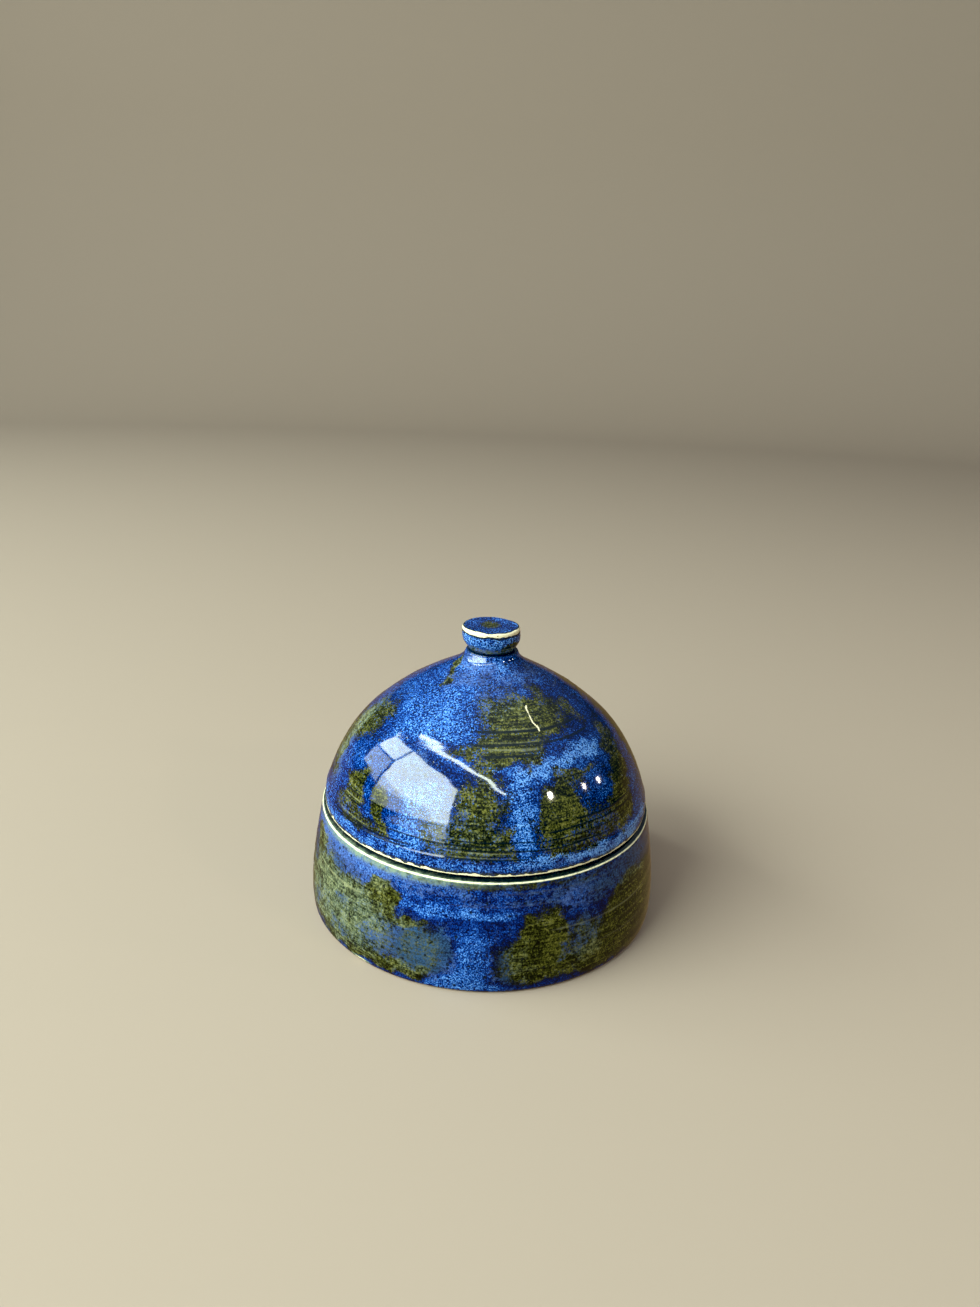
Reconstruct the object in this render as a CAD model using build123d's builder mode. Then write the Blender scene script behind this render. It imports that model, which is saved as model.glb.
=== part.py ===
"""Yarn bowl: a wheel-thrown bowl closed by a domed lid with a button knob.

Millimetres, +Z up, origin at the centre of the foot's underside. Every section
is drawn as (distance from the axis, height) on the XZ plane and revolved.

How it goes together: the lid's flange hangs inside the bowl's mouth, and the lid
lies on the flat ring of the bowl's rim at SEAT_Z. The knob is luted onto the flat
top of the lid's neck at NECK_Z.
"""

from build123d import *
import os

# ---- driving dimensions -------------------------------------------------
HEIGHT = 114.8             # foot to the knob's top edge
BELLY_RADIUS = 69.35       # widest part of the bowl, just above the foot
BELLY_Z = 7.5
RIM_RADIUS = 65.05         # outer edge of the bowl's rim
RIM_Z = 42.7
SEAT_Z = 44.0              # height of the flat ring that the lid rests on
SEAT_OUTER = 61.5
SEAT_INNER = 58.9
MOUTH_RADIUS = 58.3
MID_WALL = (67.9, 24.8)    # the outside of the wall half way up

WALL = 5.5                 # bowl wall
FLOOR_Z = 6.8              # top of the bowl's floor
FLOOR_FLAT = 53.0          # radius of the floor's flat part
UNDER_RIM = (59.9, 38.0)   # the inside just below the rim, which is thicker than the wall
LOW_INSIDE = (62.55, 15.0)  # the inside just above the rounded corner with the floor
FOOT_RADIUS = 67.8         # outer edge of the ring that stands on the table
FOOT_INNER = 57.5          # inner edge of that ring
FOOT_RECESS = 1.5          # depth trimmed out of the middle of the foot
FOOT_ROUND = 1.0

FLANGE_GAP = 1.0           # play between the lid's flange and the mouth
FLANGE_THICKNESS = 3.4
FLANGE_DEPTH = 6.5
LID_EDGE_RADIUS = 63.7     # lower outer edge of the lid
LID_EDGE_LIFT = 0.5        # that edge stands this far above the seat
LID_EDGE_HEIGHT = 1.5      # that edge stands upright for this height
LID_BAND = (63.1, 49.7)    # top of the nearly upright band round the lid's edge
DOME_CEILING = 93.0        # highest point inside the dome

# The dome bulges above its edge and turns hollow below the neck.
DOME_OUTSIDE = (
    (57.8, 63.5), (50.4, 74.5), (41.8, 82.8), (30.5, 91.1), (20.6, 96.6), (13.2, 100.8),
)
DOME_INSIDE = ((18.0, 90.2), (33.0, 82.6), (43.3, 74.4), (51.5, 64.0), (55.2, 50.0))

NECK_RADIUS = 9.7
NECK_Z = 105.3             # the knob is luted on at this height
KNOB_OFFSET = -0.5         # the knob sits this far off the lid's axis, along X
KNOB_BASE_RADIUS = 9.2
KNOB_WAIST = (10.45, 107.8)  # the side of the knob where it turns in to its base
KNOB_RADIUS = 11.3
KNOB_WIDEST_Z = 110.6      # the knob's side is upright above this height
KNOB_ROUND = 1.1           # rounding of its top edge
KNOB_DISH = 0.4            # how far the knob's top dips in the middle
EDGE_ROUND = 0.6           # softening of the clay's other sharp edges

FLANGE_RADIUS = MOUTH_RADIUS - FLANGE_GAP
FLANGE_INNER = FLANGE_RADIUS - FLANGE_THICKNESS
FLANGE_Z = SEAT_Z - FLANGE_DEPTH
LID_EDGE_Z = SEAT_Z + LID_EDGE_LIFT
LID_EDGE_TOP = LID_EDGE_Z + LID_EDGE_HEIGHT
KNOB_PLANE = Plane((KNOB_OFFSET, 0, 0), x_dir=(1, 0, 0), z_dir=(0, -1, 0))

os.makedirs("parts", exist_ok=True)

# ---- bowl: trimmed foot, slightly bellied wall, rim with a seat ---------
with BuildPart() as bowl:
    with BuildSketch(Plane.XZ) as bowl_section:
        with BuildLine():
            Polyline(
                (0, FOOT_RECESS),
                (FOOT_INNER - FOOT_RECESS, FOOT_RECESS),
                (FOOT_INNER, 0),
                (FOOT_RADIUS, 0),
            )
            # the foot's edge, rounded up into the wall
            RadiusArc(
                (FOOT_RADIUS, 0),
                (FOOT_RADIUS + FOOT_ROUND, FOOT_ROUND),
                -FOOT_ROUND,
            )
            Spline(
                (FOOT_RADIUS + FOOT_ROUND, FOOT_ROUND),
                (BELLY_RADIUS, BELLY_Z),
                MID_WALL,
                (RIM_RADIUS, RIM_Z),
            )
            # the rim's land climbs to the seat, and the seat to the mouth
            Polyline(
                (RIM_RADIUS, RIM_Z),
                (SEAT_OUTER, SEAT_Z),
                (SEAT_INNER, SEAT_Z),
                (MOUTH_RADIUS, SEAT_Z - EDGE_ROUND),
            )
            # inside: wall, rounded corner, flat floor
            Spline(
                (MOUTH_RADIUS, SEAT_Z - EDGE_ROUND),
                UNDER_RIM,
                (MID_WALL[0] - WALL, MID_WALL[1]),
                LOW_INSIDE,
                (FLOOR_FLAT, FLOOR_Z),
                tangents=((0.1, -1), (-1, 0)),
            )
            Line((FLOOR_FLAT, FLOOR_Z), (0, FLOOR_Z))
            Line((0, FLOOR_Z), (0, FOOT_RECESS))
        make_face()
        rim_corner = bowl_section.vertices().sort_by_distance((RIM_RADIUS, RIM_Z, 0))[0]
        fillet(rim_corner, EDGE_ROUND)
    revolve(axis=Axis.Z)
bowl.part.label = "bowl"
export_step(bowl.part, "parts/bowl.step")

# ---- lid: dome, short neck, and the flange that locates it --------------
with BuildPart() as lid:
    with BuildSketch(Plane.XZ) as lid_section:
        with BuildLine():
            # outside, from the lower edge up the dome and out to the neck
            Line((LID_EDGE_RADIUS, LID_EDGE_Z), (LID_EDGE_RADIUS, LID_EDGE_TOP))
            Spline(
                (LID_EDGE_RADIUS, LID_EDGE_TOP),
                LID_BAND,
                *DOME_OUTSIDE,
                (NECK_RADIUS, NECK_Z),
                tangents=((0, 1), (-0.1, 1)),
            )
            Line((NECK_RADIUS, NECK_Z), (0, NECK_Z))
            Line((0, NECK_Z), (0, DOME_CEILING))
            # inside of the dome, down into the flange
            Spline(
                (0, DOME_CEILING),
                *DOME_INSIDE,
                (FLANGE_INNER, FLANGE_Z + EDGE_ROUND),
                tangents=((1, 0), (-0.1, -1)),
            )
            # flange, then the seat, then the lifted lower edge
            Polyline(
                (FLANGE_INNER, FLANGE_Z + EDGE_ROUND),
                (FLANGE_INNER + EDGE_ROUND, FLANGE_Z),
                (FLANGE_RADIUS - EDGE_ROUND, FLANGE_Z),
                (FLANGE_RADIUS, FLANGE_Z + EDGE_ROUND),
                (FLANGE_RADIUS, SEAT_Z),
                (SEAT_OUTER, SEAT_Z),
                (LID_EDGE_RADIUS, LID_EDGE_Z),
            )
        make_face()
    revolve(axis=Axis.Z)
lid.part.label = "lid"
export_step(lid.part, "parts/lid.step")

# ---- knob: a short button with an upright rim and a slightly dished top --
with BuildPart() as knob:
    with BuildSketch(KNOB_PLANE):
        with BuildLine():
            Polyline(
                (0, HEIGHT - KNOB_DISH),
                (0, NECK_Z),
                (KNOB_BASE_RADIUS - EDGE_ROUND, NECK_Z),
                (KNOB_BASE_RADIUS, NECK_Z + EDGE_ROUND),
            )
            Spline(
                (KNOB_BASE_RADIUS, NECK_Z + EDGE_ROUND),
                KNOB_WAIST,
                (KNOB_RADIUS, KNOB_WIDEST_Z),
                tangents=((0.1, 1), (0, 1)),
            )
            Line((KNOB_RADIUS, KNOB_WIDEST_Z), (KNOB_RADIUS, HEIGHT - KNOB_ROUND))
            RadiusArc(
                (KNOB_RADIUS, HEIGHT - KNOB_ROUND),
                (KNOB_RADIUS - KNOB_ROUND, HEIGHT),
                -KNOB_ROUND,
            )
            TangentArc(
                (0, HEIGHT - KNOB_DISH),
                (KNOB_RADIUS - KNOB_ROUND, HEIGHT),
                tangent=(1, 0),
            )
        make_face()
    revolve(axis=Axis(KNOB_PLANE.origin, (0, 0, 1)))
knob.part.label = "knob"
export_step(knob.part, "parts/knob.step")
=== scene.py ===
"""Looks of the yarn bowl: a wheel-thrown bowl, its domed lid and button knob, all under a
glossy blue glaze that turns olive where it ran thin and cream where it broke off an edge."""

import math

import bpy
import numpy as np
from mathutils import Matrix, Vector


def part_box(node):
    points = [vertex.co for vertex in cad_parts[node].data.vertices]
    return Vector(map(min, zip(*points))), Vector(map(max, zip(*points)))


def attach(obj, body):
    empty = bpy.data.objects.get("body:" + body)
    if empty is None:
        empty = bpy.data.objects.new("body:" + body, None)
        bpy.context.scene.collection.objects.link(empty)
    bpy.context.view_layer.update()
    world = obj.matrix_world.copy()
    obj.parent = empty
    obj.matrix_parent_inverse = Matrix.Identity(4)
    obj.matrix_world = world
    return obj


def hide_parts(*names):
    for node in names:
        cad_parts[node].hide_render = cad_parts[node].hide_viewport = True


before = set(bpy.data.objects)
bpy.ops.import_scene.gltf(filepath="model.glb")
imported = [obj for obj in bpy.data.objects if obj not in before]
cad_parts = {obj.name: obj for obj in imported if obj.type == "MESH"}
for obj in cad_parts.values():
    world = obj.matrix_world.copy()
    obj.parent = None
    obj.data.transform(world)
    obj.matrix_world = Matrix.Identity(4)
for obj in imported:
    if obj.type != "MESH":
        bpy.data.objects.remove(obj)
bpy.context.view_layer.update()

MM = 0.001
BOWL_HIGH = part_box("bowl")[1] / MM
LID_LOW, LID_HIGH = (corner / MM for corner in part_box("lid"))
KNOB_LOW, KNOB_HIGH = (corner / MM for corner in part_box("knob"))

# Heights and radii in millimetres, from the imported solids.
SEAT = BOWL_HIGH.z
BELLY = BOWL_HIGH.x - 0.1
FLANGE_BOTTOM = LID_LOW.z
LID_RADIUS = LID_HIGH.x
NECK_TOP = LID_HIGH.z
KNOB_TOP = KNOB_HIGH.z
KNOB_RADIUS = (KNOB_HIGH.x - KNOB_LOW.x) / 2
KNOB_CENTRE = (KNOB_HIGH.x + KNOB_LOW.x) / 2


# ---- outlines -----------------------------------------------------------


def curve_through(points, step):
    """Points about `step` mm apart on a smooth curve through (radius, height) points."""
    p = np.array(points, float)
    p = np.vstack([2 * p[0] - p[1], p, 2 * p[-1] - p[-2]])
    found = []
    for a, b, c, d in zip(p, p[1:], p[2:], p[3:]):
        count = max(2, round(float(np.linalg.norm(c - b)) / step))
        t = np.linspace(0, 1, count, endpoint=False)[:, None]
        found.append(0.5 * (2 * b + (c - a) * t + (2 * a - 5 * b + 4 * c - d) * t**2
                            + (3 * b - a - 3 * c + d) * t**3))
    return np.vstack(found + [p[-2:-1]])


def corner(before, point, after, radius, count=7):
    """A rounded corner at `point`, for an outline that comes from `before` and goes to `after`."""
    point = np.array(point, float)
    start = point + radius * unit(np.array(before) - point)
    end = point + radius * unit(np.array(after) - point)
    t = np.linspace(0, 1, count)[:, None]
    return (1 - t) ** 2 * start + 2 * t * (1 - t) * point + t**2 * end


def unit(v):
    return v / np.linalg.norm(v)


class Outline:
    """A section from axis to axis, built zone by zone; each row remembers its zone."""

    def __init__(self):
        self.rows, self.zones = [], []

    def add(self, zone, points):
        for p in points:
            if not self.rows or math.dist(p, self.rows[-1]) > 0.02:
                self.rows.append([float(p[0]), float(p[1])])
                self.zones.append(zone)

    def line(self, zone, start, end, step):
        count = max(2, round(math.dist(start, end) / step) + 1)
        self.add(zone, np.linspace(start, end, count))


RIM = (65.05, SEAT - 1.3)  # outer edge of the bowl's rim
LAND_TOP = (61.5, SEAT)  # the rim's sloping land meets the flat seat here
SEAT_INNER = 58.9
MOUTH = 58.3
FOOT_EDGE = 67.8  # the ring that the bowl stands on, outside and inside
FOOT_INNER = 57.5
FOOT_RECESS = 1.5
FLOOR = 6.8
FLANGE = MOUTH - 1.0  # the lid's flange hangs in the mouth with this radius
FLANGE_INNER = FLANGE - 3.4
LID_EDGE = SEAT + 0.5
LID_WIDEST = 46.2  # height at which the lid is widest
CREASE = 49.9  # height of the crease at the top of the lid's lower band
PART = 0.02  # keeps two faces that lie on each other from sharing a plane


def bowl_outline():
    o = Outline()
    o.line("foot", (0, FOOT_RECESS), (55.6, FOOT_RECESS), 3.0)
    o.add("foot", corner((50, FOOT_RECESS), (56.2, FOOT_RECESS), (FOOT_INNER, 0), 0.6))
    o.add("foot", corner((56.0, FOOT_RECESS), (57.6, 0), (60, 0), 0.5))
    o.line("foot", (58.2, 0), (FOOT_EDGE - 1.2, 0), 0.8)
    o.add("foot", corner((66, 0), (FOOT_EDGE - 0.2, 0), (68.7, 1.4), 0.7))
    wall = [(68.25, 0.55), (68.85, 2.0), (BELLY, 7.5), (68.95, 16.0), (67.9, 24.8),
            (66.6, 33.1), (65.35, 40.0), (RIM[0], RIM[1] - 0.6)]
    o.add("wall", curve_through(wall, 0.36))
    o.add("rim", corner((RIM[0], RIM[1] - 3), RIM, LAND_TOP, 0.6, 9))
    o.line("land", (RIM[0] - 0.6, RIM[1] + 0.22), LAND_TOP, 0.2)
    o.line("seat", LAND_TOP, (SEAT_INNER, SEAT), 0.5)
    o.add("seat", corner((SEAT_INNER, SEAT), (MOUTH + 0.1, SEAT), (MOUTH, 42), 0.6))
    inside = [(MOUTH, SEAT - 0.8), (59.7, 38.2), (61.7, 31.0), (62.5, 22.0), (62.2, 14.5),
              (59.2, 9.0), (52.5, FLOOR), (40, FLOOR)]
    o.add("inside", curve_through(inside, 1.0))
    o.line("inside", (38.5, FLOOR), (0, FLOOR), 1.6)
    return o


# The dome's outside, from the crease up to the neck.
DOME = [(63.1, CREASE), (61.35, 55.2), (59.15, 60.7), (56.3, 66.2), (52.65, 71.8), (48.0, 77.3),
        (41.8, 82.8), (34.7, 88.3), (25.7, 93.8), (19.0, 97.4), (14.2, 100.1), (11.2, 102.6),
        (9.9, NECK_TOP - 0.3)]


def lid_outline():
    o = Outline()
    o.line("neck_top", (0, NECK_TOP), (8.9, NECK_TOP), 2.0)
    o.add("neck_top", corner((8, NECK_TOP), (9.75, NECK_TOP), (10.2, NECK_TOP - 2), 0.5))
    down = DOME[::-1]
    o.add("dome", curve_through(down[:6], 0.42))
    o.add("dome", curve_through(down[5:-2], 0.62))
    band_top = (LID_RADIUS - 0.05, 47.4)
    o.add("dome", curve_through(down[-3:] + [band_top], 0.3))
    band = [band_top, (LID_RADIUS, LID_WIDEST), (LID_RADIUS - 0.02, 45.0)]
    o.add("dome", curve_through(band, 0.25))
    o.add("edge", corner((LID_RADIUS, 46), (LID_RADIUS, LID_EDGE), LAND_TOP, 0.4, 7))
    o.line("under", (LID_RADIUS - 0.4, SEAT + 0.43), (LAND_TOP[0], SEAT + PART), 0.4)
    o.line("seat", (LAND_TOP[0], SEAT + PART), (FLANGE + 0.5, SEAT + PART), 0.6)
    o.add("seat", corner((60, SEAT), (FLANGE, SEAT), (FLANGE, 40), 0.4))
    o.line("flange", (FLANGE, SEAT - 0.6), (FLANGE, FLANGE_BOTTOM + 0.8), 0.7)
    o.add("flange", corner((FLANGE, 40), (FLANGE, FLANGE_BOTTOM), (54, FLANGE_BOTTOM), 0.8))
    o.add("flange", corner((FLANGE, FLANGE_BOTTOM), (FLANGE_INNER, FLANGE_BOTTOM), (54, 42), 0.8))
    hollow = [(FLANGE_INNER, FLANGE_BOTTOM + 1), (54.5, 43.5), (55.2, 50), (53.9, 58.0),
              (50.6, 65.5), (43.3, 74.4), (33.0, 82.6), (18.0, 90.2), (0, 93.0)]
    o.add("hollow", curve_through(hollow, 1.3))
    return o


def knob_outline():
    o = Outline()
    base = NECK_TOP + PART
    o.line("joint", (0, base), (8.2, base), 2.0)
    o.add("joint", corner((8, base), (8.9, base), (9.3, base + 1.2), 0.4))
    side = [(9.05, base + 0.5), (9.5, 106.8), (10.3, 108.0), (11.0, 109.3), (KNOB_RADIUS, 110.9),
            (KNOB_RADIUS, 112.4), (KNOB_RADIUS - 0.05, KNOB_TOP - 1.4)]
    o.add("side", curve_through(side, 0.16))
    o.add("shoulder", corner((KNOB_RADIUS, 112), (KNOB_RADIUS - 0.05, KNOB_TOP),
                             (8, KNOB_TOP - 0.05), 1.2, 14))
    top = [(KNOB_RADIUS - 1.25, KNOB_TOP), (8.4, KNOB_TOP - 0.12), (4.5, KNOB_TOP - 0.32),
           (0, KNOB_TOP - 0.4)]
    o.add("top", curve_through(top, 0.3))
    return o


# ---- turned meshes ------------------------------------------------------


def ripple(points, size, seed, waves=28):
    """A smooth random field, about -2 to 2, whose bumps are about `size` mm across."""
    rng = np.random.default_rng(seed)
    heading = rng.normal(size=(waves, 3))
    heading /= np.linalg.norm(heading, axis=1)[:, None]
    wave = heading * (math.tau / (size * rng.uniform(1.5, 3.0, waves)))[:, None]
    phase = rng.uniform(0, math.tau, waves)
    total = np.zeros(points.shape[:-1])
    for k, p in zip(wave, phase):
        total += np.cos(points @ k + p)
    return total / math.sqrt(waves / 2)


def smooth(low, high, x):
    t = np.clip((x - low) / (high - low), 0, 1)
    return t * t * (3 - 2 * t)


class Turned:
    """The grid of points of a turned piece: azimuth (degrees, 0 at the front, + to the right),
    height, distance along the outline, and the outward direction in the section."""

    def __init__(self, outline, segments):
        rows = np.array(outline.rows)
        self.zone = np.array(outline.zones)
        self.segments = segments
        self.r, self.z = rows[:, 0], rows[:, 1]
        step = np.hypot(np.gradient(self.r), np.gradient(self.z))
        self.out = np.stack([np.gradient(self.z) / step, -np.gradient(self.r) / step], -1)
        self.path = np.concatenate([[0], np.cumsum(np.hypot(np.diff(self.r), np.diff(self.z)))])
        self.azimuth = np.linspace(-180, 180, segments, endpoint=False)
        a = np.radians(self.azimuth)
        self.turn = np.stack([np.sin(a), -np.cos(a)], -1)
        self.points = self.place(np.zeros((len(rows), segments)))

    def place(self, offset):
        r = self.r[:, None] + self.out[:, :1] * offset
        z = self.z[:, None] + self.out[:, 1:] * offset
        return np.stack([r * self.turn[:, 0], r * self.turn[:, 1], z], -1)

    def about(self, r, z, reach):
        """1 on the ring at radius r and height z, falling away over `reach` mm from it."""
        distance = np.hypot(self.r - r, self.z - z)[:, None] * np.ones(self.segments)
        return np.exp(-((distance / reach) ** 2))

    def is_zone(self, *zones):
        return np.isin(self.zone, zones)[:, None] * np.ones(self.segments)


def add_mesh(name, turned, offset, layers, shift=None):
    """A closed mesh of the displaced grid, with one vertex at each end of the outline."""
    p = turned.place(offset)
    if shift is not None:
        p = p + shift
    rows, n = p.shape[:2]
    ring = p[1:-1].reshape(-1, 3)
    co = np.vstack([p[0].mean(0), ring, p[-1].mean(0)]) * MM
    i, j = np.meshgrid(np.arange(rows - 3), np.arange(n), indexing="ij")
    k = (j + 1) % n
    quads = np.stack([i * n + j, i * n + k, (i + 1) * n + k, (i + 1) * n + j], -1)
    quads = 1 + quads.reshape(-1, 4)
    last = len(co) - 1
    j = np.arange(n)
    k = (j + 1) % n
    fans = [(0, 1 + b, 1 + a) for a, b in zip(j, k)]
    top = 1 + (rows - 3) * n
    fans += [(last, top + a, top + b) for a, b in zip(j, k)]
    mesh = bpy.data.meshes.new(name)
    mesh.from_pydata(co.tolist(), [], quads.tolist() + [tuple(map(int, f)) for f in fans])
    if mesh_volume(mesh) < 0:
        mesh.flip_normals()
    mesh.shade_smooth()
    for layer, values in layers.items():
        flat = values[1:-1].reshape(-1, *values.shape[2:])
        flat = np.concatenate([values[:1].mean(1), flat, values[-1:].mean(1)])
        kind = "FLOAT_VECTOR" if flat.ndim == 2 else "FLOAT"
        data = mesh.attributes.new(layer, kind, "POINT").data
        data.foreach_set("vector" if flat.ndim == 2 else "value", flat.astype(np.float32).ravel())
    piece = bpy.data.objects.new(name, mesh)
    bpy.context.scene.collection.objects.link(piece)
    return piece


def mesh_volume(mesh):
    mesh.calc_loop_triangles()
    co = np.zeros(len(mesh.vertices) * 3, np.float32)
    mesh.vertices.foreach_get("co", co)
    tri = np.zeros(len(mesh.loop_triangles) * 3, np.int32)
    mesh.loop_triangles.foreach_get("vertices", tri)
    a, b, c = co.reshape(-1, 3)[tri.reshape(-1, 3)].transpose(1, 0, 2)
    return float(np.einsum("ij,ij->i", a, np.cross(b, c)).sum())


# ---- glaze marks --------------------------------------------------------
# Each mark is (azimuth, height, half width in degrees, half height in mm, lean in degrees per
# mm, value, softness). Marks are painted in order, each over the ones before it.


SQUARENESS = 2.4  # a mark's outline: 2 is an ellipse, more is nearer to a rectangle


def paint(turned, base, marks, seed, warp=1.0):
    """A field over the piece that starts at `base` and takes each mark's value inside it. The
    marks' outlines wander by a millimetre or two, times `warp`."""
    shape = (len(turned.r), turned.segments)
    azimuth = np.broadcast_to(turned.azimuth, shape)
    height = np.broadcast_to(turned.z[:, None], shape)
    radius = np.maximum(turned.r, 4)[:, None]

    def wander(coarse, fine, first_seed):
        return warp * (coarse * ripple(turned.points, 6, first_seed)
                       + fine * ripple(turned.points, 2.5, first_seed + 1))

    wander_a = wander(1.3, 0.7, seed)
    wander_z = wander(0.9, 0.5, seed + 2)
    field = np.full(shape, float(base))
    for az, z, half_az, half_z, lean, value, soft in marks:
        dz = height + wander_z - z
        da = azimuth - az - lean * dz
        da = (da + 180) % 360 - 180 + np.degrees(wander_a / radius)
        reach = np.abs(da / half_az) ** SQUARENESS + np.abs(dz / half_z) ** SQUARENESS
        reach = reach ** (1 / SQUARENESS)
        inside = 1 - smooth(1 - soft, 1 + soft, reach)
        field = field + (value - field) * inside
    return field


# Where the glaze is blue: 1 is thick blue, 0 and less is olive, and the rest is between.
LID_RUNS = [
    # upper olive pool, right of the middle, with speckled edges above and left of it
    (6, 92.0, 20, 5.0, 0, 0.36, 0.6),
    (30, 89.2, 24, 4.4, 0.5, 0.02, 0.45),
    (12, 84.4, 17, 3.6, 1.8, 0.02, 0.7),
    (9, 80.2, 12, 2.4, 1.5, 0.02, 0.5),
    (-6, 80.8, 9, 2.0, 0, 0.25, 0.5),
    (47, 93.6, 9, 2.4, 0, 0.30, 0.5),
    (62, 88.0, 5, 3.5, 0, 0.36, 0.5),
    # middle run
    (0, 75.5, 7, 4.5, 0, 0.34, 0.5),
    (-2, 67.0, 8, 8.5, 0.3, 0.18, 0.5),
    (-2, 56.0, 14, 6.0, 0, 0.16, 0.4),
    (-16, 57.5, 7, 6.5, 0, 0.42, 0.5),
    # right run
    (29, 63.0, 9.5, 10.5, 0.1, -0.05, 0.4),
    (29, 52.5, 11, 3.5, 0, 0.22, 0.5),
    (40, 73.4, 11, 1.6, 0.5, 0.28, 0.5),
    (45, 57.0, 9, 6.0, 0, 0.40, 0.5),
    # far right run
    (61, 65.0, 7.5, 14.5, 0.5, -0.05, 0.35),
    (70, 78.0, 4, 6.0, 0.5, 0.25, 0.5),
    # left runs
    (-54, 60.5, 6.5, 6.0, -0.3, 0.12, 0.4),
    (-53, 65.0, 3.5, 3.0, 0, 0.20, 0.5),
    (-60, 54.5, 8, 3.0, 0, 0.44, 0.5),
    (-37, 57.0, 3.8, 8.0, -0.5, 0.10, 0.35),
    (-46, 52.2, 14, 2.0, 0, 0.28, 0.5),
    (-74, 79.5, 13, 6.8, 0, 0.18, 0.5),
    (-80, 69.0, 5, 12.0, -0.4, 0.22, 0.5),
    (-90, 66.0, 12, 10.0, 0, 0.15, 0.45),
    (-74, 99.7, 5, 2.6, -3.0, 0.1, 0.35),
    (-60, 97.8, 11, 1.3, 0, 0.1, 0.4),
    # the side away from the front
    (95, 70.0, 10, 14.0, 0.3, -0.05, 0.35),
    (118, 88.0, 22, 4.5, 0, 0.05, 0.45),
    (128, 60.0, 12, 9.0, -0.3, 0.0, 0.4),
    (152, 72.0, 7, 10.0, 0.2, 0.20, 0.45),
    (172, 57.0, 13, 6.5, 0, 0.05, 0.4),
    (-162, 86.5, 20, 5.0, 0.5, 0.05, 0.45),
    (-148, 64.0, 9, 12.0, 0.2, 0.1, 0.4),
    (-120, 56.0, 11, 5.5, 0, 0.1, 0.45),
    (-118, 80.0, 10, 5.0, -0.4, 0.2, 0.5),
    # blue that ran over the olive again: a band that climbs to the right, and a column
    (21, 76.4, 14, 1.7, 1.5, 1.3, 0.4),
    (43, 79.0, 17, 2.0, 1.2, 1.3, 0.4),
    (13, 64.0, 3.6, 11.0, 0, 1.1, 0.5),
    (-22, 97.0, 18, 3.5, 0, 0.95, 0.5),
]

# Where the blue is full of pale crystals: 0 none, 1 many.
LID_SPARK = [
    (-32, 90.0, 34, 7.0, 0, 0.68, 0.6),
    (-24, 84.5, 22, 3.0, 0, 0.72, 0.5),
    (-10, 97.5, 26, 3.0, 0, 0.55, 0.6),
    (60, 88.0, 26, 9.0, 0, 0.30, 0.5),
    (-22, 62.0, 8, 13.0, 0, 0.80, 0.4),
    (-25, 75.0, 20, 3.5, 0, 0.25, 0.6),
    (13, 64.0, 6, 13.0, 0, 0.85, 0.4),
    (21, 76.6, 15, 2.2, 1.5, 1.0, 0.4),
    (43, 79.2, 17, 2.4, 1.2, 1.0, 0.4),
    (-58, 47.8, 70, 1.7, 0, 0.72, 0.4),
    (45, 48.2, 32, 2.1, 0, 1.3, 0.4),
    (0, 102.0, 180, 2.4, 0, 0.35, 0.6),
    (-20, 102.0, 50, 2.4, 0, 0.9, 0.6),
    (160, 80.0, 40, 8.0, 0, 0.75, 0.5),
    (110, 80.0, 12, 3.0, 0.5, 0.7, 0.4),
    (-130, 70.0, 14, 6.0, 0, 0.8, 0.4),
]

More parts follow.
